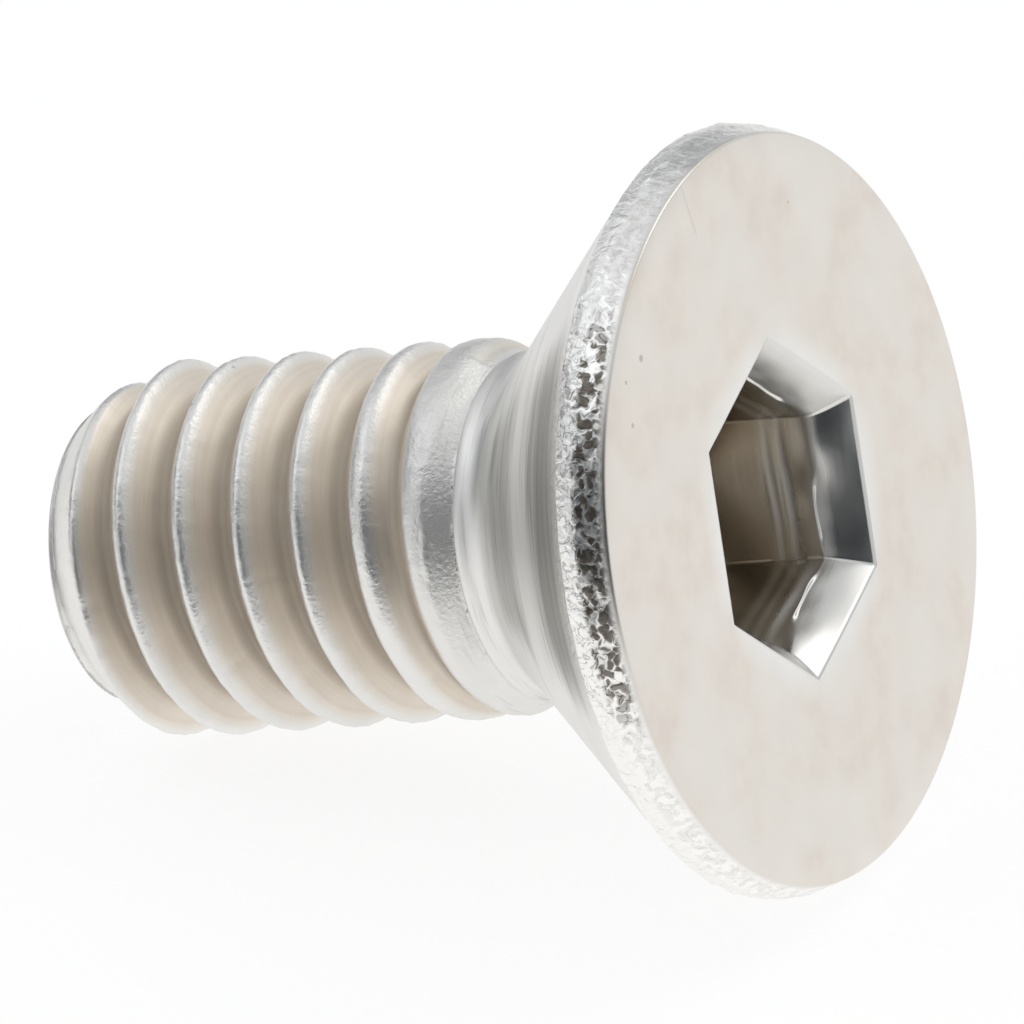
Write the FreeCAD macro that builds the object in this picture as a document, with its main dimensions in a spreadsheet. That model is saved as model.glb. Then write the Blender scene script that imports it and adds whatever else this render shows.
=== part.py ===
"""Countersunk socket screw, M4 x 8: one cold-formed and thread-rolled piece.

The screw is drawn along the z axis of its body, with the flat face of its head at z = 0 and
the shank pointing down. The body is then laid on its side, as such a screw comes to rest: the
lower edge of the rim and the first full crest at the tip touch the plane z = 0 of the part.
"""
import FreeCAD, Part
import math
import os
import Sketcher

# in a sketch, point 1 of a line is its start, point 2 its end, and point 3 of a circle its
# centre; its upright axis is line -2, and its origin is point 1 of line -1
ORIGIN = (-1, 1)

SIZES = [
    ("length", 7.92, "head face to tip, as a countersunk screw is measured"),
    ("rim_diameter", 7.9, "over the rough rim of the head"),
    ("rim_height", 0.49, "upright band between the face and the cone"),
    ("cone_angle", 90.0, "included angle of the countersunk seat"),
    ("face_rounding", 0.14, "where the face turns into the rim"),
    ("neck_diameter", 3.5, "unrolled blank between the cone and the thread"),
    ("neck_length", 0.4, "from the foot of the cone to the thread's shoulder"),
    ("neck_rounding", 0.4, "in the corner under the head"),
    ("crest_diameter", 3.92, "over the crests of the rolled thread"),
    ("pitch", 0.7, "coarse pitch of an M4 thread"),
    ("flank_angle", 60.0, "between the two flanks of the groove"),
    ("root_width", 0.114, "flat left at the bottom of the groove"),
    ("crest_width", 0.09, "flat left on the crest"),
    ("first_crest", 0.61, "tip to the first full crest, on the side that the screw lies on"),
    ("run_out_turns", 1.5, "over which the groove climbs out towards the neck"),
    ("run_out_rise", 0.35, "how far it climbs in a turn, until it is clear of the neck"),
    ("tip_diameter", 3.0, "flat end of the shank"),
    ("tip_taper", 0.6, "height of the tapered lead at the tip"),
    ("socket_width", 2.56, "across the flats, for a 2.5 mm key"),
    ("socket_depth", 1.8, "from the face to the foot of the flats"),
    ("socket_turn", 47.0, "of the hexagon about the axis"),
    ("mouth_rounding", 0.24, "drawn-in edge where the flats meet the face"),
    ("floor_diameter", 2.3, "of the punch mark in the socket's floor"),
    ("floor_angle", 120.0, "included angle of that mark"),
    ("overshoot", 0.2, "by which the groove's profile stands proud of the crests"),
]

doc = FreeCAD.newDocument("countersunk_socket_screw")
sheet = doc.addObject("Spreadsheet::Sheet", "Sizes")
for row, (alias, number, meaning) in enumerate(SIZES, start=1):
    sheet.set(f"A{row}", alias)
    sheet.set(f"B{row}", str(number))
    sheet.set(f"C{row}", meaning)
    sheet.setAlias(f"B{row}", alias)
doc.recompute()

body = doc.addObject("PartDesign::Body", "Screw")
body.Label = "countersunk_screw"


def value(expression):
    """What an expression on the sheet comes to."""
    return float(body.evalExpression(expression))


def size(alias):
    """One driving dimension."""
    return value(f"Sizes.{alias}")


def new_sketch(name, plane):
    """An empty sketch on one of the body's own planes."""
    sketch = body.newObject("Sketcher::SketchObject", name)
    support = next(f for f in body.Origin.OriginFeatures if f.Role == plane)
    sketch.AttachmentSupport = [(support, "")]
    sketch.MapMode = "FlatFace"
    return sketch


def bind(sketch, name, expression, kind, *where):
    """Adds a named dimension to a sketch and ties it to the sheet."""
    index = sketch.addConstraint(Sketcher.Constraint(kind, *where, value(expression)))
    sketch.renameConstraint(index, name)
    sketch.setExpression(f"Constraints.{name}", expression)


def closed_lines(sketch, points):
    """Straight lines through the points and back to the first, joined end to end."""
    ends = [FreeCAD.Vector(x, y, 0) for x, y in points]
    lines = [
        sketch.addGeometry(Part.LineSegment(a, b), False)
        for a, b in zip(ends, ends[1:] + ends[:1])
    ]
    for here, there in zip(lines, lines[1:] + lines[:1]):
        sketch.addConstraint(Sketcher.Constraint("Coincident", here, 2, there, 1))
    return lines


def draw_profile(name, corners):
    """A closed half section beside the axis. Each corner has its name, its distance from the
    axis and its height, both as expressions; a corner on the axis has "0" for the first."""
    sketch = new_sketch(name, "XZ_Plane")
    points = [(value(across), value(up)) for _, across, up in corners]
    for line, (corner, across, up) in zip(closed_lines(sketch, points), corners):
        if across == "0":
            sketch.addConstraint(Sketcher.Constraint("PointOnObject", line, 1, -2))
        else:
            bind(sketch, f"{corner}_across", across, "DistanceX", *ORIGIN, line, 1)
        bind(sketch, f"{corner}_up", up, "DistanceY", *ORIGIN, line, 1)
    return sketch


def add_feature(kind, name, sketch, **settings):
    """A feature made from a sketch, which must change the body's volume."""
    before = body.Tip.Shape.Volume if body.Tip else 0.0
    feature = body.newObject(f"PartDesign::{kind}", name)
    feature.Profile = sketch
    for setting, given in settings.items():
        setattr(feature, setting, given)
    sketch.Visibility = False
    doc.recompute()
    if abs(feature.Shape.Volume - before) < 1e-3:
        raise RuntimeError(f"{name} changes nothing")
    return feature


def round_edges(name, radius, wanted):
    """Rounds those edges of the body for which wanted is true."""
    base = body.Tip
    fillet = body.newObject("PartDesign::Fillet", name)
    edges = [f"Edge{n}" for n, edge in enumerate(base.Shape.Edges, start=1) if wanted(edge)]
    fillet.Base = (base, edges)
    fillet.setExpression("Radius", radius)
    doc.recompute()
    return fillet


def circle_at(diameter, height):
    """Tells whether an edge is the circle of that diameter at that height about the axis."""
    def wanted(edge):
        curve = edge.Curve
        return (
            isinstance(curve, Part.Circle)
            and abs(2 * curve.Radius - value(diameter)) < 1e-4
            and abs(curve.Center.z - value(height)) < 1e-4
        )
    return wanted


def mouth_edge(edge):
    """Tells whether an edge is a straight side of the socket's mouth."""
    return isinstance(edge.Curve, Part.Line) and abs(edge.BoundBox.ZMax) < 1e-6 \
        and edge.BoundBox.ZLength < 1e-6


# the blank: face, rim, countersunk cone, neck, shoulder, shank and tapered tip
CONE_FOOT = (
    "-(Sizes.rim_height + (Sizes.rim_diameter - Sizes.neck_diameter) / 2"
    " / tan(Sizes.cone_angle / 2 * 1 deg))"
)
NECK_END = f"{CONE_FOOT} - Sizes.neck_length"
SHOULDER = f"{NECK_END} - (Sizes.crest_diameter - Sizes.neck_diameter) / 2"
blank = draw_profile("Blank", [
    ("face_centre", "0", "0"),
    ("rim_top", "Sizes.rim_diameter / 2", "0"),
    ("rim_foot", "Sizes.rim_diameter / 2", "-Sizes.rim_height"),
    ("cone_foot", "Sizes.neck_diameter / 2", CONE_FOOT),
    ("neck_end", "Sizes.neck_diameter / 2", NECK_END),
    ("shoulder", "Sizes.crest_diameter / 2", SHOULDER),
    ("taper", "Sizes.crest_diameter / 2", "Sizes.tip_taper - Sizes.length"),
    ("tip_edge", "Sizes.tip_diameter / 2", "-Sizes.length"),
    ("tip_centre", "0", "-Sizes.length"),
])
add_feature("Revolution", "TurnedBlank", blank, ReferenceAxis=(blank, ["V_Axis"]), Angle=360)
round_edges("FaceRounding", "Sizes.face_rounding", circle_at("Sizes.rim_diameter", "0"))
round_edges("NeckRounding", "Sizes.neck_rounding", circle_at("Sizes.neck_diameter", CONE_FOOT))

# the hexagon socket, its punched floor and its drawn-in mouth
hexagon = new_sketch("Hexagon", "XY_Plane")
corner_radius = "Sizes.socket_width / 2 / cos(30 deg)"
turns = [math.radians(value("Sizes.socket_turn") + 60 * n) for n in range(6)]
sides = closed_lines(
    hexagon,
    [(value(corner_radius) * math.cos(a), value(corner_radius) * math.sin(a)) for a in turns],
)
circle = hexagon.addGeometry(
    Part.Circle(FreeCAD.Vector(), FreeCAD.Vector(0, 0, 1), value(corner_radius)), True
)
hexagon.addConstraint(Sketcher.Constraint("Coincident", circle, 3, *ORIGIN))
bind(hexagon, "corner_radius", corner_radius, "Radius", circle)
for side in sides:
    hexagon.addConstraint(Sketcher.Constraint("PointOnObject", side, 1, circle))
for side in sides[1:]:
    hexagon.addConstraint(Sketcher.Constraint("Equal", sides[0], side))
bind(hexagon, "turn", "(Sizes.socket_turn + 120) * 1 deg", "Angle", sides[0])
socket = add_feature("Pocket", "Socket", hexagon)
socket.setExpression("Length", "Sizes.socket_depth")
mark = draw_profile("FloorMark", [
    ("mark_centre", "0", "-Sizes.socket_depth"),
    ("mark_edge", "Sizes.floor_diameter / 2", "-Sizes.socket_depth"),
    ("mark_point", "0",
     "-Sizes.socket_depth - Sizes.floor_diameter / 2 / tan(Sizes.floor_angle / 2 * 1 deg)"),
])
add_feature("Groove", "SocketFloor", mark, ReferenceAxis=(mark, ["V_Axis"]), Angle=360)
round_edges("MouthRounding", "Sizes.mouth_rounding", mouth_edge)

# the rolled groove: a flat root between two flanks that meet the crests
CREST = "Sizes.crest_diameter / 2"
PROUD = f"{CREST} + Sizes.overshoot"
CREST_HALF = "(Sizes.pitch - Sizes.crest_width) / 2"
ROOT_HALF = "Sizes.root_width / 2"
ROOT = f"({CREST} - ({CREST_HALF} - {ROOT_HALF}) / tan(Sizes.flank_angle / 2 * 1 deg))"
FIRST_CREST = "(Sizes.first_crest - Sizes.length)"
# as many whole turns of full depth as leave room for the run-out below the shoulder
FULL_TURNS = f"floor(({SHOULDER} - ({FIRST_CREST})) / Sizes.pitch - Sizes.run_out_turns)"
LAST_GROOVE = f"({FIRST_CREST} + ({FULL_TURNS} + 0.5) * Sizes.pitch)"


def draw_groove(name, middle):
    """The groove's section beside the axis, its middle at the given height."""
    return draw_profile(name, [
        ("upper_root", ROOT, f"{middle} + {ROOT_HALF}"),
        ("upper_crest", CREST, f"{middle} + {CREST_HALF}"),
        ("upper_side", PROUD, f"{middle} + {CREST_HALF}"),
        ("lower_side", PROUD, f"{middle} - {CREST_HALF}"),
        ("lower_crest", CREST, f"{middle} - {CREST_HALF}"),
        ("lower_root", ROOT, f"{middle} - {ROOT_HALF}"),
    ])


def add_helix(name, sketch, mode, **expressions):
    """A groove cut along a right-handed helix about the axis."""
    helix = body.newObject("PartDesign::SubtractiveHelix", name)
    helix.Profile = sketch
    helix.ReferenceAxis = (sketch, ["V_Axis"])
    helix.Mode = mode
    for setting, expression in expressions.items():
        helix.setExpression(setting, expression)
    sketch.Visibility = False
    before = helix.BaseFeature.Shape.Volume
    doc.recompute()
    if helix.Shape.Volume > before - 1e-3:
        raise RuntimeError(f"{name} cuts nothing")


# the groove starts clear below the tip and ends where its run-out begins
TURNS_BELOW = f"({FULL_TURNS} + 2)"
add_helix(
    "Thread",
    draw_groove("Groove", f"({LAST_GROOVE} - {TURNS_BELOW} * Sizes.pitch)"),
    "pitch-height-angle",
    Pitch="Sizes.pitch",
    Height=f"{TURNS_BELOW} * Sizes.pitch",
)
add_helix(
    "RunOut",
    draw_groove("GrooveEnd", LAST_GROOVE),
    "height-turns-growth",
    Height="Sizes.run_out_turns * Sizes.pitch",
    Turns="Sizes.run_out_turns",
    Growth="Sizes.run_out_rise",
)

# laid on its side, on the foot of the rim and the lower corner of the first full crest
rim_radius = size("rim_diameter") / 2
crest_radius = size("crest_diameter") / 2
crest_foot = size("length") - size("first_crest") + size("crest_width") / 2
lean = math.atan2(rim_radius - crest_radius, crest_foot - size("rim_height"))
tip_end = size("length") * math.cos(lean) + size("tip_diameter") / 2 * math.sin(lean)
head_end = rim_radius * math.sin(lean)
body.Placement = FreeCAD.Placement(
    FreeCAD.Vector(
        (tip_end - head_end) / 2,
        0,
        rim_radius * math.cos(lean) + size("rim_height") * math.sin(lean),
    ),
    FreeCAD.Rotation(FreeCAD.Vector(0, 1, 0), 90 - math.degrees(lean)),
)
doc.recompute()

for item in doc.Objects:
    if {"Invalid", "Error"} & set(item.State):
        raise RuntimeError(f"{item.Name} failed: {item.State}")
if body.Shape.isNull() or not body.Shape.isValid() or len(body.Shape.Solids) != 1:
    raise RuntimeError(f"{body.Label} is not one valid solid")
os.makedirs("parts", exist_ok=True)
body.Shape.exportStep(f"parts/{body.Label}.step")
print(f"{body.Label}: {body.Shape.Volume:.2f} mm3, lean {math.degrees(lean):.2f} degrees")
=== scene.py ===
import bmesh
import bpy
import numpy as np
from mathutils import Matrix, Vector


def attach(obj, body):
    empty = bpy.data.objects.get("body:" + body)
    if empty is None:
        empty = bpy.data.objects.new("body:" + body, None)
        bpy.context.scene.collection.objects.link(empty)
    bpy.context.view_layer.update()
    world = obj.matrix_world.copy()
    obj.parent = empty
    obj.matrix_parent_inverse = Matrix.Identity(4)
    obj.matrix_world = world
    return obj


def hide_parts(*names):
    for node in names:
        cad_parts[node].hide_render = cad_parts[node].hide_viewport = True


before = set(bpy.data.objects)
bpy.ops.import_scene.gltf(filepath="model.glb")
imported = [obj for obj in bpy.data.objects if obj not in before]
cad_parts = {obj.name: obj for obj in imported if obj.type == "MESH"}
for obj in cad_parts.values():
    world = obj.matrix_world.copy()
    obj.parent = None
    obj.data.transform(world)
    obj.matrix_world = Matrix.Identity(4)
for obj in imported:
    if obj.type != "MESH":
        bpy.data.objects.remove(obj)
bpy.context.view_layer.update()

# THE BLANK. The screw starts as a length of stainless wire. Its end is upset between dies into the
# countersunk head, a punch sinks the hexagon socket and draws its mouth in, and the rim is left as
# it comes, rough and finely torn. All sizes are millimetres from the face, the shank towards -z.
MILLIMETRE = 0.001
RIM = 3.95  # radius
RIM_FOOT = -0.49
RIM_ROUNDING = 0.04  # where the rim meets the cone
FACE_EDGE = 3.81  # radius where the flat face ends
EDGE_WIDTH = 0.025
EDGE_DROP = 0.022
BAND_WIDTH = 0.105  # the slanting band between the face's edge and the rim
BAND_CURVE = 0.9
BAND_FOOT = -0.312
NECK = 1.75  # radius
CONE_FOOT = RIM_FOOT - (RIM - NECK)  # a cone of 90 degrees
NECK_ROUNDING = 0.45
COLLAR = -2.96
COLLAR_RISE = 0.055
NECK_FOOT = COLLAR - 0.02
KEY = 1.28  # half the socket's width across flats
SOCKET_TURN = np.radians(47.0)
MOUTH_WIDTH = 0.26
MOUTH_DEPTH = 0.46
MOUTH_CURVE = 1.45
WALL_FOOT = -1.8
MARK = 1.15  # radius of the punch's conical mark in the socket's floor
AROUND = 360  # columns round the axis

# how it lies: the screw's own axis leans up to the head, on the rim and the first full crest
LEAN = np.radians(16.1656)
FACE_CENTRE = np.array([3.4624, 0.0, 3.9302])


def lay_down(own):
    """Turns the screw's own axes (x towards the floor side, z out of the face) into the row's
    frame, in metres: its z leans up along +X and its x points down."""
    x, y, z = own[..., 0], own[..., 1], own[..., 2]
    laid = np.stack([
        x * np.sin(LEAN) + z * np.cos(LEAN),
        y,
        -x * np.cos(LEAN) + z * np.sin(LEAN),
    ], axis=-1)
    return (laid + FACE_CENTRE) * MILLIMETRE


def uneven(own, wavelength, seed, waves=26):
    """Smooth random unevenness between about -1 and 1: a sum of cosine waves of about one
    wavelength, each in its own direction through space and with its own start."""
    chance = np.random.default_rng(seed)
    heading = chance.normal(size=(3, waves))
    heading /= np.linalg.norm(heading, axis=0)
    heading *= 2 * np.pi / (wavelength * chance.uniform(0.7, 1.5, waves))
    return np.cos(own @ heading + chance.uniform(0, 6.283, waves)).sum(-1) / np.sqrt(waves * 1.2)


def step_between(low, high, x):
    """Rises smoothly from 0 at low to 1 at high."""
    t = np.clip((x - low) / (high - low), 0, 1)
    return t * t * (3 - 2 * t)


def hexagon(apothem, angle):
    """Distance from the axis to a hexagon's side in a direction: the apothem over the cosine of
    the angle to the nearest side's middle."""
    return apothem / np.cos((angle - SOCKET_TURN) % (np.pi / 3) - np.pi / 6)


# the columns: evenly round the axis, with one at each corner of the hexagon
turn = SOCKET_TURN + np.linspace(0, 2 * np.pi, AROUND + 1)

# the section of the head, from the middle of the socket's floor out to the neck, as rows of
# (apothem or radius, height, how far the row is a hexagon)
rows = []
for t in np.linspace(0, 1, 5):
    rows.append((MARK * t, WALL_FOOT - (1 - t) * MARK / np.sqrt(3), 0.0))
for t in (0.35, 0.7):
    rows.append((MARK + t * (KEY - MARK), WALL_FOOT + 0.005 * t, t))
for up in (*np.linspace(WALL_FOOT + 0.02, -1.2, 5), *np.linspace(-1.13, -MOUTH_DEPTH, 20)):
    rows.append((KEY, up, 1.0))
mouth_start = len(rows)
# the drawn-in mouth: its width grows with a power of the height, from along the wall to a crisp
# corner with the face
for t in np.linspace(0, 1, 14)[1:]:
    rows.append((KEY + MOUTH_WIDTH * t ** MOUTH_CURVE, -MOUTH_DEPTH * (1 - t), 1.0))
rows.append((KEY + MOUTH_WIDTH + 0.010, -0.002, 1.0))
socket_rows = len(rows)
face_start = KEY + MOUTH_WIDTH + 0.03
for t in np.linspace(0, 1, 9):
    rows.append((face_start + t * (FACE_EDGE - face_start), 0.0, 1 - step_between(0, 0.8, t)))
# a smooth narrow edge, a slanting band where the upset metal turned over, and the rim itself
band_start = FACE_EDGE + EDGE_WIDTH
rim_start = band_start + BAND_WIDTH
for t in np.linspace(0, 1, 5)[1:]:
    rows.append((FACE_EDGE + EDGE_WIDTH * t, -EDGE_DROP * t ** 2, 0.0))
for t in np.linspace(0, 1, 9)[1:]:
    drop = t * (BAND_FOOT + EDGE_DROP)
    rows.append((band_start + BAND_WIDTH * t ** BAND_CURVE, drop - EDGE_DROP, 0.0))
for t in np.linspace(0, 1, 6)[1:]:
    swell = (RIM - rim_start) * (1 - (1 - t) ** 2)
    rows.append((rim_start + swell, BAND_FOOT + t * (RIM_FOOT - BAND_FOOT), 0.0))
for t in np.linspace(0, np.pi / 4, 5)[1:]:
    turned_in = RIM_ROUNDING * (1 - np.cos(t))
    rows.append((RIM - turned_in, RIM_FOOT - RIM_ROUNDING * np.sin(t), 0.0))
bend = NECK_ROUNDING * np.tan(np.pi / 8)
cone_run = (RIM - NECK) - bend * np.cos(np.pi / 4)
for t in np.linspace(0.02, 1, 9):
    rows.append((RIM - t * cone_run, RIM_FOOT - t * cone_run, 0.0))
# the fillet under the head ends in a low collar, which the dies left standing beside the neck
for t in np.linspace(np.pi / 4, 0, 9)[1:]:
    rows.append((
        NECK + NECK_ROUNDING * (1 - np.cos(t)) + COLLAR_RISE * (1 - 4 * t / np.pi) ** 2,
        CONE_FOOT - bend + NECK_ROUNDING * np.sin(t),
        0.0,
    ))
for out, up in ((0.058, 0.03), (0.050, 0.008), (0.025, -0.006), (0, -0.016), (0, -0.02)):
    rows.append((NECK + out, COLLAR + up, 0.0))
apothem, height, hexed = (np.array(rows)[:, [n]] for n in range(3))

angle = np.broadcast_to(turn, (len(rows), AROUND + 1))
reach = (1 - hexed) * apothem + hexed * hexagon(apothem, turn)
head = np.stack([reach * np.cos(angle), reach * np.sin(angle), height + 0 * angle], axis=-1)
radius, level = reach, head[..., 2]
# the mouth was drawn in a little deeper in some places than in others
number = np.arange(len(rows))[:, None]
drawn_in = (level > -MOUTH_DEPTH - 0.01) & (number >= mouth_start) & (number < socket_rows)
side = np.stack([np.cos(angle), np.sin(angle), 0 * angle], axis=-1)
level *= 1 + drawn_in * 0.22 * uneven(side, 0.9, 12)

# the face is a little wavy, and the rough rim and the edge above the cone are uneven
in_socket = number < socket_rows
on_face = step_between(1.55, 1.9, radius) * step_between(-0.06, -0.02, level)
on_face = (1 - in_socket) * on_face
past_edge = step_between(band_start, band_start + 0.035, radius)
on_rim = past_edge * step_between(RIM_FOOT - 0.08, RIM_FOOT, level)
flat = on_face * step_between(FACE_EDGE + 0.02, FACE_EDGE - 0.2, radius)
head[..., 2] -= flat * 0.0022 * (1 + uneven(head, 2.4, 1))
on_band = step_between(band_start, band_start + 0.025, radius)
on_band = on_band * step_between(BAND_FOOT - 0.033, BAND_FOOT + 0.027, level)
on_cone = (1 - in_socket) * step_between(RIM_FOOT, RIM_FOOT - 0.08, level)
edge = np.exp(-((level - RIM_FOOT) / 0.05) ** 2) * (radius > 3.8)
rim_grain = 0.55 * uneven(head, 0.16, 2) + 0.45 * uneven(head, 0.34, 3)
shrink = on_rim * 0.007 * (1 + rim_grain) + edge * 0.012 * (1 + uneven(head, 0.5, 4))
# the socket's walls carry the punch's shallow waves and two low ridges where it was set in twice
RIDGE = 0.017  # their height
inside = in_socket * step_between(1.1, 1.25, radius)
wave = inside * step_between(-0.05, -0.3, level)
wobble = 0.03 * uneven(head * np.array([1, 1, 0.1]), 1.3, 10)
ridges = np.exp(-((level + 0.80 + wobble) / 0.05) ** 2)
ridges = ridges + 0.9 * np.exp(-((level + 0.97 + wobble) / 0.06) ** 2)
# the pair is plainest on one wall, and the next wall has a single ridge nearer the mouth
ridges *= 0.12 + 0.88 * np.exp(-((angle - np.radians(77)) / 0.42) ** 2)
next_wall = (angle - np.radians(17) + np.pi) % (2 * np.pi) - np.pi
ridges += 0.8 * np.exp(-(next_wall / 0.3) ** 2 - ((level + 0.60 + wobble) / 0.05) ** 2)
ridges = np.clip(ridges, 0, 1)
shrink += wave * (0.002 * uneven(head * np.array([1, 1, 0.5]), 1.1, 5) + RIDGE * ridges)
by_mouth = np.exp(-((level + MOUTH_DEPTH) / 0.16) ** 2)
shrink += inside * 0.008 * uneven(head, 0.45, 11) * by_mouth
for axis in range(2):
    head[..., axis] *= 1 - shrink / np.maximum(radius, 0.2)

# THE THREAD. The rest of the blank is rolled between two flat dies, which press a right-hand
# groove into it and raise the crests beside it. The rolled crests are rounded, and the last groove
# climbs out of the metal within a turn and a half, where the dies ran out below the head.
CREST = 1.96  # radius
PITCH = 0.7
CREST_HALF = 0.305  # half the groove's width at the crests, and at its root
ROOT_HALF = 0.057
ROOT_ROUNDING = 0.13
CREST_ROUNDING = 0.075
SLOPE = np.sqrt(3)  # flanks of 60 degrees
ROOT = CREST - (CREST_HALF - ROOT_HALF) * SLOPE
LENGTH = 7.92
FIRST_CREST = 0.61 - LENGTH
FULL_TURNS = 4
RUN_OUT_TURNS = 1.5
RUN_OUT_RISE = 0.22
TIP = 1.5  # radius
TIP_TAPER = 0.6
END_ROUNDING = 0.05
SHOULDER_SLOPE = 0.72
SHOULDER = NECK_FOOT - (CREST - NECK) / SHOULDER_SLOPE
BEYOND = 9.0  # a radius that no groove reaches


def lower_of(a, b, rounding):
    """The lower of two heights, with the corner between them rounded."""
    return 0.5 * (a + b - np.sqrt((a - b) ** 2 + rounding ** 2))


def blank_radius(z):
    """The blank before rolling: tip taper, plain length, shoulder and neck."""
    taper = TIP + (z + LENGTH) * (CREST - TIP) / TIP_TAPER
    shoulder = NECK + (NECK_FOOT - z) * SHOULDER_SLOPE
    plain = lower_of(taper, np.minimum(shoulder, CREST + 0.5), 0.05)
    return np.maximum(lower_of(plain, CREST + 0 * z, 0.035), NECK * (z > SHOULDER))


def groove_radius(z, phi):
    """The rolled groove: its middle rises by one pitch a turn, and its section is a V with a
    rounded bottom. Above the last full turn the whole section lifts out with the turns made."""
    lowest = np.full(np.broadcast(z, phi).shape, BEYOND)
    for k in range(-FULL_TURNS - 3, 3):
        made = phi / (2 * np.pi) + k
        middle = FIRST_CREST + (FULL_TURNS + 0.5 + made) * PITCH
        lift = np.clip(made, 0, None) * RUN_OUT_RISE
        away = (np.abs(z - middle) - ROOT_HALF) * SLOPE
        section = ROOT + lift + 0.5 * (away + np.sqrt(away ** 2 + ROOT_ROUNDING ** 2))
        gone = np.where(made > RUN_OUT_TURNS, BEYOND, 0.0)
        lowest = np.minimum(lowest, section + gone)
    return lowest


# the rows follow the helix, so that a crest is one unbroken line round the shank; beyond the
# thread's two ends they are held level, where the surplus closes up
half_pitch = np.array([0, 0.025, 0.05, 0.08, 0.12, 0.19, 0.26, CREST_HALF])
spread = np.concatenate([half_pitch, [PITCH / 2], PITCH - half_pitch[:0:-1]])
turns_drawn = np.arange(-3, 8)[:, None]
starts = (FIRST_CREST + turns_drawn * PITCH + spread).ravel()
crest_phase = PITCH * (turn / (2 * np.pi))
end_edge = -LENGTH + END_ROUNDING
z = np.clip(starts[:, None] + crest_phase, end_edge, NECK_FOOT)
keep = (z.max(1) > end_edge) & (z.min(1) < NECK_FOOT)
z = z[keep]
phi = np.broadcast_to(turn, z.shape)
own = np.stack([CREST * np.cos(phi), CREST * np.sin(phi), z], axis=-1)
r_blank = blank_radius(z)
r_groove = groove_radius(z, phi)
r = lower_of(r_blank, r_groove, CREST_ROUNDING)
r = np.where(z > SHOULDER, np.minimum(np.maximum(r, NECK - 0.02), r_blank), r)
r = np.where(z >= NECK_FOOT - 1e-9, NECK, r)
# how deep each point lies in the groove, as a share of the groove's own depth there
lifted = np.clip((z - FIRST_CREST) / PITCH - FULL_TURNS - 0.5, 0, RUN_OUT_TURNS) * RUN_OUT_RISE
depth = np.clip((r_blank - r) / (CREST - ROOT - lifted), 0, 1)
# worn crests: their height changes a little round each turn, and they carry small nicks
worn = (1 - depth) ** 2 * (0.006 * (1 + uneven(own, 0.9, 6)) + 0.004 * (1 + uneven(own, 0.2, 7)))
flank_waves = depth * 0.006 * uneven(own * np.array([1, 1, 2.5]), 0.55, 8)
r = r - (worn + flank_waves) * (z < SHOULDER)
NICKS = (  # height, degrees round, size and depth
    (-7.36, -95, 0.10, 0.02), (-6.52, -128, 0.07, 0.035), (-5.93, -70, 0.09, 0.03),
    (-5.20, -101, 0.06, 0.03), (-4.46, -146, 0.08, 0.04), (-6.70, 20, 0.10, 0.04),
    (-5.75, 74, 0.08, 0.04), (-4.30, 118, 0.09, 0.035), (-7.10, 152, 0.08, 0.04),
    (-3.72, -60, 0.08, 0.03),
)
for up, degrees, size, dent in NICKS:
    gap = (phi - np.radians(degrees) + np.pi) % (2 * np.pi) - np.pi
    off = ((gap * CREST) ** 2 + (z - up) ** 2) / size ** 2
    r = r - dent * np.exp(-off) * (1 - depth)
thread = np.stack([r * np.cos(phi), r * np.sin(phi), z], axis=-1)

# the sheared end of the wire: a slightly hollow flat inside a rounded edge
END_FLAT = 1.488  # radius of the flat: the taper's, less the rounding
END_HOLLOW = 0.11
end_rows = []
for t in np.linspace(0, np.pi / 2, 6)[1:]:
    end_rows.append((END_FLAT + END_ROUNDING * np.cos(t), end_edge - END_ROUNDING * np.sin(t)))
for t in np.linspace(1, 0, 9)[1:]:
    end_rows.append((END_FLAT * t, -LENGTH + END_HOLLOW * step_between(0.95, 0.25, t)))
tip_radius, tip_height = (np.array(end_rows)[:, [n]] for n in range(2))
tip = np.stack([
    tip_radius * np.cos(turn),
    tip_radius * np.sin(turn),
    tip_height + 0 * turn,
], axis=-1)
tip[..., 2] += 0.006 * (1 + uneven(tip, 0.5, 9)) * (tip_radius < 1.4)


def quads(count, start):
    """Faces of a grid of so many rows, each of AROUND + 1 points, numbered from start."""
    row, column = np.mgrid[0:count - 1, 0:AROUND]
    here = start + row * (AROUND + 1) + column
    return np.stack([here, here + AROUND + 1, here + AROUND + 2, here + 1], -1).reshape(-1, 4)


shank = np.concatenate([tip[::-1], thread])
points = np.concatenate([head.reshape(-1, 3), shank.reshape(-1, 3)])
shank_quads = quads(len(shank), len(head) * (AROUND + 1))
faces = np.concatenate([quads(len(head), 0), shank_quads[:, ::-1]])
mesh = bpy.data.meshes.new("countersunk_screw_skin")
mesh.from_pydata(lay_down(points).tolist(), [], faces.tolist())

# what the finish needs to know of each point: its place in the screw's own axes, how deep it lies
# in the groove, and whether it belongs to a crest, the rim, its slanting band, the face and so on
no_head, no_tip = np.zeros(head[..., 0].size), np.zeros(tip[..., 0].size)
no_shank = np.zeros(shank[..., 0].size)
on_crest = np.exp(-(depth / 0.25) ** 2) * (z < SHOULDER + 0.3)
marks = {
    "groove": np.concatenate([no_head, no_tip, depth.ravel()]),
    "crest": np.concatenate([no_head, no_tip, on_crest.ravel()]),
    "rim": np.concatenate([on_rim.ravel(), no_shank]),
    "band": np.concatenate([on_band.ravel(), no_shank]),
    "face": np.concatenate([on_face.ravel(), no_shank]),
    "cone": np.concatenate([
        on_cone.ravel(),
        (tip_radius + 0 * turn < 1.42).ravel(),
        step_between(-3.9, -3.5, z).ravel(),
    ]),
    "mouth": np.concatenate([(drawn_in * step_between(-0.4, -0.3, level)).ravel(), no_shank]),
    # where the socket's ridges stand, for a painted highlight along them
    "painted_ridge_highlight": np.concatenate([(wave * ridges ** 0.55).ravel(), no_shank]),
    "socket": np.concatenate([(in_socket * step_between(-0.3, -0.9, level)).ravel(), no_shank]),
}
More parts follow.
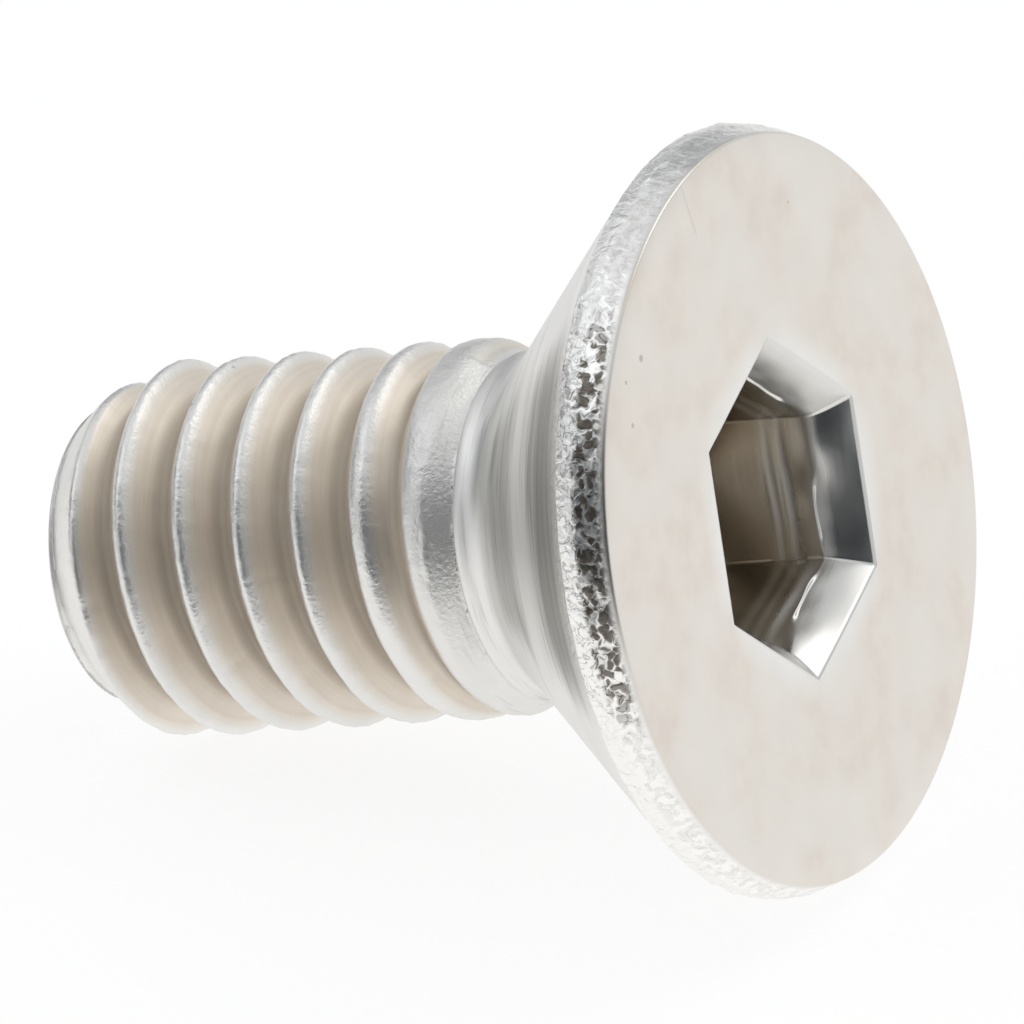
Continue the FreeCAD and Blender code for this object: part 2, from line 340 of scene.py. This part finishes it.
own_axes = mesh.attributes.new("own_axes", "FLOAT_VECTOR", "POINT")
own_axes.data.foreach_set("vector", points.ravel())
# a second place, wrapped round the screw: direction from the axis, then the height on the head or
# the radius on the thread, so that lines of one height or radius run right round without a seam
outwards = np.hypot(points[:, 0], points[:, 1])
steady = np.maximum(outwards, 1e-6)
along = np.where(np.arange(len(points)) < head[..., 0].size, points[:, 2], outwards)
wrapped = np.stack([points[:, 0] / steady, points[:, 1] / steady, along], axis=-1)
round_axis = mesh.attributes.new("wrapped", "FLOAT_VECTOR", "POINT")
round_axis.data.foreach_set("vector", wrapped.ravel())
for name, numbers in marks.items():
    mesh.attributes.new(name, "FLOAT", "POINT").data.foreach_set("value", numbers)

welded = bmesh.new()
welded.from_mesh(mesh)
bmesh.ops.remove_doubles(welded, verts=welded.verts, dist=2e-8)
bmesh.ops.dissolve_degenerate(welded, edges=welded.edges, dist=1e-8)
bmesh.ops.recalc_face_normals(welded, faces=welded.faces)
for facet in welded.faces:
    facet.smooth = True
welded.to_mesh(mesh)
welded.free()
screw = bpy.data.objects.new("countersunk_screw_skin", mesh)
bpy.context.scene.collection.objects.link(screw)


# THE METAL. Austenitic stainless steel, tumbled after rolling: satin and faintly mottled on the
# face, drawn and streaked on the cone, bright where crests were pressed, grey-brown with old
# lubricant and painted shade down in the groove, and painted shade deep in the socket. The rim's
# torn grain and scales and the cone carry a painted dark reflection on the side toward the camera.
class Wire:
    """A wire in a material. The usual signs on it add Math nodes; make() adds any other node."""

    def __init__(self, tree, socket=None):
        self.tree = tree
        self.socket = socket

    def make(self, kind, settings, inputs, output=0):
        """Adds a node: its settings first, then the values or links of its sockets."""
        node = self.tree.nodes.new(kind)
        for name, setting in settings.items():
            setattr(node, name, setting)
        for name, value in inputs.items():
            socket = node.inputs[name]
            if isinstance(value, Wire):
                self.tree.links.new(value.socket, socket)
            else:
                socket.default_value = value
        return Wire(self.tree, node.outputs[output] if node.outputs else None)

    def maths(self, operation, first, second):
        return self.make("ShaderNodeMath", {"operation": operation}, {0: first, 1: second})

    def __add__(self, other):
        return self.maths("ADD", self, other)

    def __radd__(self, other):
        return self.maths("ADD", other, self)

    def __sub__(self, other):
        return self.maths("SUBTRACT", self, other)

    def __rsub__(self, other):
        return self.maths("SUBTRACT", other, self)

    def __mul__(self, other):
        return self.maths("MULTIPLY", self, other)

    def __rmul__(self, other):
        return self.maths("MULTIPLY", other, self)

    def __abs__(self):
        return self.make("ShaderNodeMath", {"operation": "ABSOLUTE"}, {0: self})

    def or_more(self, other):
        return self.maths("MAXIMUM", self, other)

    def clamped(self, low, high):
        """Runs from 0 to 1 while the wire runs from low to high, smoothly at both ends."""
        return self.make(
            "ShaderNodeMapRange",
            {"interpolation_type": "SMOOTHSTEP"},
            {"Value": self, "From Min": low, "From Max": high},
        )

    def distance_to(self, spot):
        return self.make("ShaderNodeVectorMath", {"operation": "DISTANCE"}, {0: self, 1: spot}, 1)

    def part(self, number):
        """The x, y or z of a place: 0, 1 or 2."""
        return self.make("ShaderNodeSeparateXYZ", {}, {0: self}, number)

    def stretched(self, across, along):
        """The place in the screw's own axes, squeezed or stretched across and along its axis."""
        return self.make(
            "ShaderNodeVectorMath",
            {"operation": "MULTIPLY"},
            {0: self, 1: (across, across, along)},
        )

    def noise(self, scale, detail, roughness):
        return self.make(
            "ShaderNodeTexNoise",
            {"noise_dimensions": "3D"},
            {"Vector": self, "Scale": scale, "Detail": detail, "Roughness": roughness},
        )

    def blend(self, first, second):
        """The first colour where the wire is 0, the second where it is 1."""
        return self.make(
            "ShaderNodeMix",
            {"data_type": "RGBA"},
            {0: self, 6: first, 7: second},
            output=2,
        )


steel = bpy.data.materials.new("tumbled_stainless")
steel.use_nodes = True
steel.node_tree.nodes.clear()
wires = Wire(steel.node_tree)


def mark(name, output=2):
    """One of the marks left on the mesh: a number, or with output 1 a place."""
    return wires.make("ShaderNodeAttribute", {"attribute_name": name}, {}, output)


place = mark("own_axes", output=1)
round_screw = mark("wrapped", output=1)
names = ("groove", "crest", "rim", "band", "face", "cone", "mouth", "socket", "painted_ridge_highlight")
groove, crested, rim, band, face, cone, mouth, socket, painted_ridge_highlight = (mark(name) for name in names)

cloudy = place.noise(0.9, 1.0, 0.5)
mottle = place.noise(3.0, 2.0, 0.6)
lines = round_screw.stretched(1.2, 26.0).noise(1.0, 2.0, 0.6)
grit = place.noise(21.0, 2.0, 0.6)

scored = cone * round_screw.stretched(2.6, 34.0).noise(1.0, 1.0, 0.5).clamped(0.57, 0.72)

# small specks of rolled-in scale, and the nicks and the scratch on the face
speck = mottle.clamped(0.765, 0.79)
FACE_NICKS = (  # place on the face and size
    ((-2.60, -2.08, 0), 0.05), ((-2.08, -2.57, 0), 0.035), ((-2.51, -2.48, 0), 0.03),
)
for spot, size in FACE_NICKS:
    speck = speck.or_more(1 - place.distance_to(spot).clamped(size * 0.5, size))
across, down = place.part(1), place.part(0)
beside = abs(across + 0.448 - 0.092 * (down + 3.53))
past_ends = abs(down + 3.50).clamped(0.2, 0.36)
scratch = (1 - beside.clamped(0.006, 0.022)) * (1 - past_ends)

satin = mottle.clamped(0.30, 0.72).blend((0.735, 0.690, 0.630, 1), (0.715, 0.655, 0.595, 1))
satin = cloudy.clamped(0.35, 0.65).blend(satin, (0.750, 0.720, 0.670, 1))
bare = face.blend((0.835, 0.825, 0.80, 1), satin)
bare = mouth.blend(bare, (0.70, 0.69, 0.665, 1))
# the side of the head toward the camera, where the colour is darkened as a painted dark reflection
# of the studio behind the camera
dark_reflection_side = wires.make(
    "ShaderNodeVectorMath",
    {"operation": "DOT_PRODUCT"},
    {0: round_screw, 1: (-0.386, -0.922, 0)},
    1,
).clamped(0.80, 0.94)
smeared = cone * round_screw.stretched(1.7, 8.0).noise(1.0, 1.0, 0.5).clamped(0.50, 0.68)
# a painted dark reflection round the cone on that side, by the rim and by the neck; on the shank
# and the tip's end the same number is a radius, and the last factor keeps it off them
on_axis = round_screw.part(2)
by_rim = on_axis.clamped(-1.7, -0.9)
by_neck = on_axis.clamped(-2.6, -2.25) * (1 - on_axis.clamped(-1.95, -1.65))
painted_dark_reflection = by_rim * 0.85 + by_neck * 0.50
painted_dark_reflection = cone * dark_reflection_side * painted_dark_reflection * (0.7 + 0.6 * lines) * (1 - on_axis.clamped(0.0, 0.5))
# the cone's own streaks and smears, together with the painted dark reflection on the camera side
dark = (scored * 0.22 + smeared * 0.20 + painted_dark_reflection).clamped(0.0, 1.0)
streaks_and_dark_reflection = dark.blend(bare, (0.30, 0.29, 0.27, 1))
# darker and browner down the groove: old lubricant and painted shade, darkest at the root
oil_and_groove_shade = groove.clamped(0.04, 0.40).blend(
    streaks_and_dark_reflection,
    lines.clamped(0.3, 0.7).blend((0.76, 0.69, 0.60, 1), (0.81, 0.745, 0.66, 1)),
)
oil_and_groove_shade = groove.clamped(0.66, 1.0).blend(oil_and_groove_shade, (0.57, 0.51, 0.43, 1))
# painted shade: a darker brown from about 0.3 mm deep in the socket, streaked by the lines
socket_shade = (socket * (0.72 + 0.36 * lines)).clamped(0.1, 1.0)
socket_shaded = socket_shade.blend(oil_and_groove_shade, (0.47, 0.425, 0.36, 1))
marked = (speck * 0.6 + scratch * 0.22).blend(socket_shaded, (0.36, 0.32, 0.27, 1))
# along the socket's ridges the wall is pale with a painted highlight, and one corner has a pale
# spot that is a painted highlight; both are given as partly non-metallic, a means to the
# photograph's look and not a known property of the steel
ridge_highlighted = painted_ridge_highlight.blend(marked, (0.98, 0.96, 0.93, 1))
# a painted highlight in one corner of the socket: a pale, partly non-metallic spot
from_corner_highlight = place.distance_to((1.0, 1.06, -0.72))
corner_highlight = (1 - from_corner_highlight.clamped(0.0, 0.10)) * mottle.clamped(0.30, 0.60)
roughness = (
    0.40 - 0.07 * face + 0.12 * groove.clamped(0.03, 0.5) + 0.22 * groove.clamped(0.6, 0.95)
    + 0.04 * crested + 0.05 * cone + 0.10 * (mottle - 0.5) + 0.07 * (lines - 0.5)
    - 0.18 * socket - 0.16 * mouth
)
# relief, in millimetres: the fine lines round the cone, the crests' torn edges, the face's satin
relief = cone * 0.0018 * lines + crested * 0.009 * grit + face * 0.0014 * mottle
smooth_skin = wires.make(
    "ShaderNodeBsdfPrincipled",
    {"distribution": "MULTI_GGX"},
    {"Base Color": corner_highlight.blend(ridge_highlighted, (0.95, 0.94, 0.92, 1)),
     "Metallic": 1.0 - corner_highlight.or_more(painted_ridge_highlight * 0.7),
     "Roughness": roughness,
     "Normal": wires.make(
         "ShaderNodeBump",
         {},
         {"Strength": 1.0, "Distance": MILLIMETRE, "Height": relief},
     )},
)

# the rim's torn skin: fine wrinkles, and small scales in a warped cell pattern on its slanting
# band; both are darker mostly on the side toward the camera, where the dark is a painted dark
# reflection
warp = wires.make(
    "ShaderNodeVectorMath",
    {"operation": "MULTIPLY_ADD"},
    {0: wires.make("ShaderNodeTexNoise", {}, {"Vector": place, "Scale": 7.0, "Detail": 1.0}, 1),
     1: (0.18, 0.18, 0.18), 2: place},
)
scales = wires.make(
    "ShaderNodeTexVoronoi",
    {"feature": "F1"},
    {"Vector": warp, "Scale": 10.0, "Randomness": 1.0},
)
grain = warp.noise(8.0, 2.0, 0.6)
wrinkle = 1 - abs(grain - 0.5).clamped(0.0, 0.045)
# the scales' dark is weighted to the side toward the camera: a painted dark reflection
scales_and_dark_reflection = band * (1 - scales.clamped(0.42, 0.75)) * (0.25 + 0.75 * dark_reflection_side)
# two painted highlights on the rim's band: small near-white, partly non-metallic spots
painted_glint, other_painted_glint = (
    1 - place.distance_to(spot).clamped(0.02, 0.045)
    for spot in ((-2.63, -2.83, -0.09), (-2.31, -3.09, -0.10))
)
painted_glint = painted_glint + other_painted_glint
# the grain's dark, much darker on the side toward the camera as a painted dark reflection
torn_grain_and_dark_reflection = (scales_and_dark_reflection * 0.86 + wrinkle * (0.13 + 0.40 * dark_reflection_side)).clamped(0.0, 1.0)
torn_grain_and_dark_reflection = torn_grain_and_dark_reflection.blend((0.95, 0.94, 0.915, 1), (0.15, 0.13, 0.11, 1))
torn_skin = wires.make(
    "ShaderNodeBsdfPrincipled",
    {"distribution": "MULTI_GGX"},
    {"Base Color": painted_glint.blend(torn_grain_and_dark_reflection, (0.97, 0.94, 0.89, 1)), "Metallic": 1.0 - 0.8 * painted_glint,
     "Roughness": 0.42 - 0.09 * band + 0.06 * scales_and_dark_reflection,
     "Normal": wires.make(
         "ShaderNodeBump",
         {},
         {"Strength": 1.0, "Distance": MILLIMETRE,
          "Height": (1 - 0.6 * band) * (0.026 * grain - 0.010 * scales)},
     )},
)
shader = wires.make("ShaderNodeMixShader", {}, {0: rim, 1: smooth_skin, 2: torn_skin})
wires.make("ShaderNodeOutputMaterial", {}, {"Surface": shader})
mesh.materials.append(steel)

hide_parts("countersunk_screw")
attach(screw, "root")

# THE TABLE. A sheet of white board under the screw, which runs on past the view on all sides.
BOARD = 1.5
floor_mesh = bpy.data.meshes.new("table_board")
floor_mesh.from_pydata(
    [(-BOARD, -BOARD, 0), (BOARD, -BOARD, 0), (BOARD, BOARD, 0), (-BOARD, BOARD, 0)],
    [],
    [(0, 1, 2, 3)],
)
floor = bpy.data.objects.new("table_board", floor_mesh)
bpy.context.scene.collection.objects.link(floor)
board = bpy.data.materials.new("white_board")
board.use_nodes = True
board.node_tree.nodes.clear()
sheet = Wire(board.node_tree)
seen, mirrored = (sheet.make("ShaderNodeLightPath", {}, {}, n) for n in (0, 3))
paper = sheet.make(
    "ShaderNodeBsdfPrincipled",
    {},
    {"Base Color": (0.92, 0.915, 0.91, 1), "Roughness": 0.85, "Specular IOR Level": 0.0},
)
lit = sheet.make("ShaderNodeEmission", {}, {"Color": (1, 1, 1, 1), "Strength": 1.08})
mixed = sheet.make("ShaderNodeMixShader", {}, {0: (seen * 0.8).or_more(mirrored), 1: paper, 2: lit})
sheet.make("ShaderNodeOutputMaterial", {}, {"Surface": mixed})
floor_mesh.materials.append(board)

# THE LIGHT. A pale room, a wide soft box above on the camera's left, a smaller one behind the
# screw, and three cards: the dark of the studio behind the camera and at one side, a grey behind.
world = bpy.data.worlds.new("pale_room")
bpy.context.scene.world = world
world.use_nodes = True
world.node_tree.nodes.clear()
room = Wire(world.node_tree)
shows = room.make("ShaderNodeLightPath", {}, {}, 0)
dim = room.make("ShaderNodeBackground", {}, {"Color": (0.96, 0.98, 1.0, 1), "Strength": 0.77})
white = room.make("ShaderNodeBackground", {}, {"Color": (1, 1, 1, 1), "Strength": 1.0})
sky = room.make("ShaderNodeMixShader", {}, {0: shows, 1: dim, 2: white})
room.make("ShaderNodeOutputWorld", {}, {"Surface": sky})


def towards(azimuth, elevation, distance):
    """A place seen from the screw at that azimuth and elevation, in metres."""
    a, e = np.radians(azimuth), np.radians(elevation)
    return distance * np.array([np.sin(a) * np.cos(e), -np.cos(a) * np.cos(e), np.sin(e)])


def facing_screw(thing, azimuth, elevation, distance):
    """Puts a lamp or card there, its back to the room and its -Z at the screw."""
    spot = Vector(towards(azimuth, elevation, distance))
    thing.location = spot
    thing.rotation_euler = (-spot).to_track_quat("-Z", "Y").to_euler()


def soft_box(name, azimuth, elevation, distance, width, height, power, tint):
    lamp = bpy.data.lights.new(name, "AREA")
    lamp.shape = "RECTANGLE"
    lamp.size = width
    lamp.size_y = height
    lamp.energy = power
    lamp.color = tint
    lamp_object = bpy.data.objects.new(name, lamp)
    bpy.context.scene.collection.objects.link(lamp_object)
    facing_screw(lamp_object, azimuth, elevation, distance)


soft_box("window_box", -50, 62, 0.9, 0.7, 0.5, 0.6, (0.93, 0.97, 1.0))
soft_box("back_box", 150, 50, 0.9, 0.5, 0.4, 0.8, (1.0, 0.98, 0.95))


def dark_card(name, azimuth, elevation, distance, width, height, tone):
    """A card of matt cloth, which the metal reflects."""
    half = np.array([[-1, -1], [1, -1], [1, 1], [-1, 1]]) * (width / 2, height / 2)
    card_mesh = bpy.data.meshes.new(name)
    card_mesh.from_pydata([(x, y, 0) for x, y in half], [], [(0, 1, 2, 3)])
    card = bpy.data.objects.new(name, card_mesh)
    bpy.context.scene.collection.objects.link(card)
    facing_screw(card, azimuth, elevation, distance)
    cloth = bpy.data.materials.new(name)
    cloth.use_nodes = True
    matt = cloth.node_tree.nodes["Principled BSDF"].inputs
    matt["Base Color"].default_value = (*tone, 1)
    matt["Roughness"].default_value = 1.0
    card_mesh.materials.append(cloth)


dark_card("studio_dark", 23, 28, 0.6, 0.74, 0.61, (0.045, 0.053, 0.062))
dark_card("studio_side", -80, 12, 0.6, 0.44, 0.30, (0.06, 0.065, 0.07))
dark_card("studio_back", 214, 22, 0.6, 0.4, 0.30, (0.45, 0.46, 0.47))

# THE CAMERA. A long lens from a quarter of a metre, at the photograph's own viewing angle. It is
# aimed so that the middle of the face falls where it does there, in a frame 1024 pixels wide.
VIEW_AZIMUTH = 25.8
VIEW_ELEVATION = 27.2
VIEW_DISTANCE = 0.25
PIXELS = 1024
PIXELS_PER_MM = 98.7
FACE_RIGHT = 793.6  # pixels from the frame's left edge, and from its top
FACE_DOWN = 508.9
lens = bpy.data.cameras.new("view")
camera = bpy.data.objects.new("view", lens)
bpy.context.scene.collection.objects.link(camera)
bpy.context.scene.camera = camera
lens.sensor_width = 36
lens.lens = 36 * PIXELS_PER_MM * VIEW_DISTANCE * 1000 / PIXELS
a, e = np.radians(VIEW_AZIMUTH), np.radians(VIEW_ELEVATION)
right = np.array([np.cos(a), np.sin(a), 0])
upwards = np.array([-np.sin(a) * np.sin(e), np.cos(a) * np.sin(e), np.cos(e)])
off_right = (FACE_RIGHT - PIXELS / 2) / PIXELS_PER_MM
off_up = (PIXELS / 2 - FACE_DOWN) / PIXELS_PER_MM
aim = MILLIMETRE * (FACE_CENTRE - right * off_right - upwards * off_up)
facing_screw(camera, VIEW_AZIMUTH, VIEW_ELEVATION, VIEW_DISTANCE)
camera.location = camera.location + Vector(aim)

bpy.context.scene.view_settings.view_transform = "Standard"
